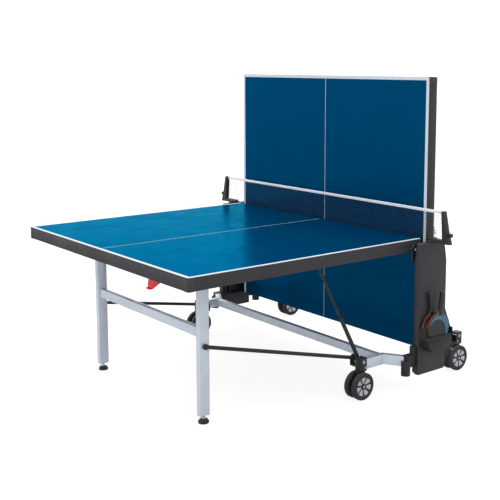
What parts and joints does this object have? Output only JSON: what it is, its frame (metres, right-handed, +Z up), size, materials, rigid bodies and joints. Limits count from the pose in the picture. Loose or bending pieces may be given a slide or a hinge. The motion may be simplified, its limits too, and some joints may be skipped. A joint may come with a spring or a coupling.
{
  "type": "table tennis table",
  "caption": "Rollaway table-tennis table: two separately folding halves on a wheeled centre frame, one open for play and one folded upright, with net, side covers and bat holder.",
  "frame": {"origin": "on the floor, under the middle of the net", "axes": "+X across the table along the net, towards the side with the bat holder; +Y along the table, towards the folded half; +Z up"},
  "size_m": [1.909, 1.803, 1.556],
  "materials": {
    "silver_steel": "silver powder coat, fine satin",
    "zinc_steel": "bright drawn tube",
    "black_plastic": "moulded, fine grain",
    "black_steel": "black powder coat, semi-matt",
    "anthracite_steel": "anthracite powder coat, semi-matt",
    "anthracite_plastic": "moulded, fine grain",
    "blue_board": "matt playing surface with white lines",
    "red_plastic": "moulded, satin gloss",
    "netting": "knotted polyester net",
    "net_tape": "woven cotton tape",
    "bat_red_rubber": "table-tennis rubber on a wooden blade",
    "bat_black_rubber": "table-tennis rubber on a wooden blade",
    "tyre_rubber": "smooth tread",
    "hub_plastic": "silver moulded hub"
  },
  "bodies": {
    "base": {"chassis_cross_tubes": "silver_steel", "chassis_side_tubes": "silver_steel", "right_column": "black_steel", "left_column": "black_steel", "column_guides": "black_plastic", "column_feet": "black_plastic", "pivot_brackets": "black_steel", "caster_housings": "black_plastic", "right_side_cover": "anthracite_plastic", "left_side_cover": "anthracite_plastic", "bat_holder": "black_plastic", "net_mesh": "netting", "net_tape": "net_tape", "right_net_post": "black_plastic", "left_net_post": "black_plastic"},
    "right_net_knob": {"right_net_knob": "black_plastic"},
    "left_net_knob": {"left_net_knob": "black_plastic"},
    "right_bat": {"right_bat": "bat_red_rubber"},
    "left_bat": {"left_bat": "bat_black_rubber"},
    "front_carriage": {"front_lift_shaft": "zinc_steel", "front_slide_blocks": "black_plastic"},
    "front_top": {"front_board": "blue_board", "front_apron": "anthracite_steel", "front_corner_caps": "anthracite_plastic", "front_underframe": "black_steel", "front_hinge_brackets": "black_steel"},
    "front_lever": {"front_release_lever": "red_plastic"},
    "front_legs": {"front_leg_frame": "silver_steel"},
    "front_right_foot": {"front_right_foot": "black_plastic"},
    "front_left_foot": {"front_left_foot": "black_plastic"},
    "front_strut_rods": {"front_strut_rods": "black_steel"},
    "front_strut_tubes": {"front_strut_tubes": "black_steel"},
    "front_lower_bars": {"front_lower_bars": "black_steel"},
    "rear_carriage": {"rear_lift_shaft": "zinc_steel", "rear_slide_blocks": "black_plastic"},
    "rear_top": {"rear_board": "blue_board", "rear_apron": "anthracite_steel", "rear_corner_caps": "anthracite_plastic", "rear_underframe": "black_steel", "rear_hinge_brackets": "black_steel"},
    "rear_lever": {"rear_release_lever": "red_plastic"},
    "rear_legs": {"rear_leg_frame": "silver_steel"},
    "rear_right_foot": {"rear_right_foot": "black_plastic"},
    "rear_left_foot": {"rear_left_foot": "black_plastic"},
    "rear_strut_rods": {"rear_strut_rods": "black_steel"},
    "rear_strut_tubes": {"rear_strut_tubes": "black_steel"},
    "rear_lower_bars": {"rear_lower_bars": "black_steel"},
    "front_right_caster": {"front_right_caster_fork": "black_plastic"},
    "front_right_wheels": {"front_right_tyres": "tyre_rubber", "front_right_hubs": "hub_plastic"},
    "front_left_caster": {"front_left_caster_fork": "black_plastic"},
    "front_left_wheels": {"front_left_tyres": "tyre_rubber", "front_left_hubs": "hub_plastic"},
    "rear_right_caster": {"rear_right_caster_fork": "black_plastic"},
    "rear_right_wheels": {"rear_right_tyres": "tyre_rubber", "rear_right_hubs": "hub_plastic"},
    "rear_left_caster": {"rear_left_caster_fork": "black_plastic"},
    "rear_left_wheels": {"rear_left_tyres": "tyre_rubber", "rear_left_hubs": "hub_plastic"}
  },
  "joints": [
    {"name": "front_lift", "type": "slide", "parent": "base", "child": "front_carriage", "axis": [0, 0, 1], "range_m": [-0.461, 0]},
    {"name": "front_fold", "type": "hinge", "parent": "front_carriage", "child": "front_top", "pos_m": [0, -0.072, 0.715], "axis": [-1, 0, 0], "range_deg": [0, 90]},
    {"name": "front_legs_fold", "type": "hinge", "parent": "front_top", "child": "front_legs", "pos_m": [0, -1.098, 0.705], "axis": [-1, 0, 0], "range_deg": [-64.07, 0]},
    {"name": "front_struts_turn", "type": "hinge", "parent": "front_top", "child": "front_strut_rods", "pos_m": [0, -0.618, 0.712], "axis": [-1, 0, 0], "range_deg": [-38.64, 0]},
    {"name": "front_struts_extend", "type": "slide", "parent": "front_strut_rods", "child": "front_strut_tubes", "axis": [0, 0.4687, -0.8834], "range_m": [0, 0.07373]},
    {"name": "front_bars_turn", "type": "hinge", "parent": "base", "child": "front_lower_bars", "pos_m": [0, -0.34, 0.188], "axis": [-1, 0, 0], "range_deg": [0, 84.07]},
    {"name": "front_lever_pull", "type": "hinge", "parent": "front_top", "child": "front_lever", "pos_m": [0, -1.332, 0.706], "axis": [-1, 0, 0], "range_deg": [0, 20], "stiffness_Nm_per_rad": 0.6},
    {"name": "front_right_foot_screw", "type": "slide", "parent": "front_legs", "child": "front_right_foot", "axis": [0, 0, -1], "range_m": [0, 0.015]},
    {"name": "front_left_foot_screw", "type": "slide", "parent": "front_legs", "child": "front_left_foot", "axis": [0, 0, -1], "range_m": [0, 0.015]},
    {"name": "rear_lift", "type": "slide", "parent": "base", "child": "rear_carriage", "axis": [0, 0, 1], "range_m": [0, 0.461]},
    {"name": "rear_fold", "type": "hinge", "parent": "rear_carriage", "child": "rear_top", "pos_m": [0, 0.072, 0.254], "axis": [1, 0, 0], "range_deg": [-90, 0]},
    {"name": "rear_legs_fold", "type": "hinge", "parent": "rear_top", "child": "rear_legs", "pos_m": [0, 0.082, 1.28], "axis": [1, 0, 0], "range_deg": [0, 64.07]},
    {"name": "rear_struts_turn", "type": "hinge", "parent": "rear_top", "child": "rear_strut_rods", "pos_m": [0, 0.075, 0.8], "axis": [1, 0, 0], "range_deg": [0, 38.64]},
    {"name": "rear_struts_extend", "type": "slide", "parent": "rear_strut_rods", "child": "rear_strut_tubes", "axis": [0, 0.3974, -0.9177], "range_m": [-0.07373, 0]},
    {"name": "rear_bars_turn", "type": "hinge", "parent": "base", "child": "rear_lower_bars", "pos_m": [0, 0.34, 0.188], "axis": [1, 0, 0], "range_deg": [-84.07, 0]},
    {"name": "rear_lever_pull", "type": "hinge", "parent": "rear_top", "child": "rear_lever", "pos_m": [0, 0.081, 1.514], "axis": [1, 0, 0], "range_deg": [0, 20], "stiffness_Nm_per_rad": 0.6},
    {"name": "rear_right_foot_screw", "type": "slide", "parent": "rear_legs", "child": "rear_right_foot", "axis": [0, 0.4373, -0.8993], "range_m": [0, 0.015]},
    {"name": "rear_left_foot_screw", "type": "slide", "parent": "rear_legs", "child": "rear_left_foot", "axis": [0, 0.4373, -0.8993], "range_m": [0, 0.015]},
    {"name": "front_right_swivel", "type": "hinge", "parent": "base", "child": "front_right_caster", "pos_m": [0.7, -0.35, 0.15], "axis": [0, 0, 1], "continuous": true},
    {"name": "front_right_roll", "type": "hinge", "parent": "front_right_caster", "child": "front_right_wheels", "pos_m": [0.7, -0.36, 0.0675], "axis": [1, 0, 0], "continuous": true},
    {"name": "front_left_swivel", "type": "hinge", "parent": "base", "child": "front_left_caster", "pos_m": [-0.7, -0.35, 0.15], "axis": [0, 0, 1], "continuous": true},
    {"name": "front_left_roll", "type": "hinge", "parent": "front_left_caster", "child": "front_left_wheels", "pos_m": [-0.7, -0.36, 0.0675], "axis": [1, 0, 0], "continuous": true},
    {"name": "rear_right_swivel", "type": "hinge", "parent": "base", "child": "rear_right_caster", "pos_m": [0.7, 0.35, 0.15], "axis": [0, 0, 1], "continuous": true},
    {"name": "rear_right_roll", "type": "hinge", "parent": "rear_right_caster", "child": "rear_right_wheels", "pos_m": [0.7, 0.34, 0.0675], "axis": [1, 0, 0], "continuous": true},
    {"name": "rear_left_swivel", "type": "hinge", "parent": "base", "child": "rear_left_caster", "pos_m": [-0.7, 0.35, 0.15], "axis": [0, 0, 1], "continuous": true},
    {"name": "rear_left_roll", "type": "hinge", "parent": "rear_left_caster", "child": "rear_left_wheels", "pos_m": [-0.7, 0.34, 0.0675], "axis": [1, 0, 0], "continuous": true},
    {"name": "right_knob_turn", "type": "hinge", "parent": "base", "child": "right_net_knob", "pos_m": [0.9285, 0, 0.8], "axis": [1, 0, 0], "continuous": true},
    {"name": "left_knob_turn", "type": "hinge", "parent": "base", "child": "left_net_knob", "pos_m": [-0.9285, 0, 0.8], "axis": [1, 0, 0], "continuous": true},
    {"name": "right_bat_lift", "type": "slide", "parent": "base", "child": "right_bat", "axis": [0, 0.1392, 0.9903], "range_m": [0, 0.12]},
    {"name": "left_bat_lift", "type": "slide", "parent": "base", "child": "left_bat", "axis": [0, -0.1392, 0.9903], "range_m": [0, 0.12]}
  ],
  "couplings": [
    {"joint": "front_lift", "follows": "front_fold", "m_per_rad": -0.29348},
    {"joint": "front_legs_fold", "follows": "front_fold", "ratio": -0.71184},
    {"joint": "front_struts_turn", "follows": "front_fold", "ratio": -0.42933},
    {"joint": "front_struts_extend", "follows": "front_fold", "m_per_rad": 0.046939},
    {"joint": "front_bars_turn", "follows": "front_fold", "ratio": 0.93413},
    {"joint": "rear_lift", "follows": "rear_fold", "m_per_rad": -0.29348},
    {"joint": "rear_legs_fold", "follows": "rear_fold", "ratio": -0.71184},
    {"joint": "rear_struts_turn", "follows": "rear_fold", "ratio": -0.42933},
    {"joint": "rear_struts_extend", "follows": "rear_fold", "m_per_rad": 0.046939},
    {"joint": "rear_bars_turn", "follows": "rear_fold", "ratio": 0.93413}
  ]
}
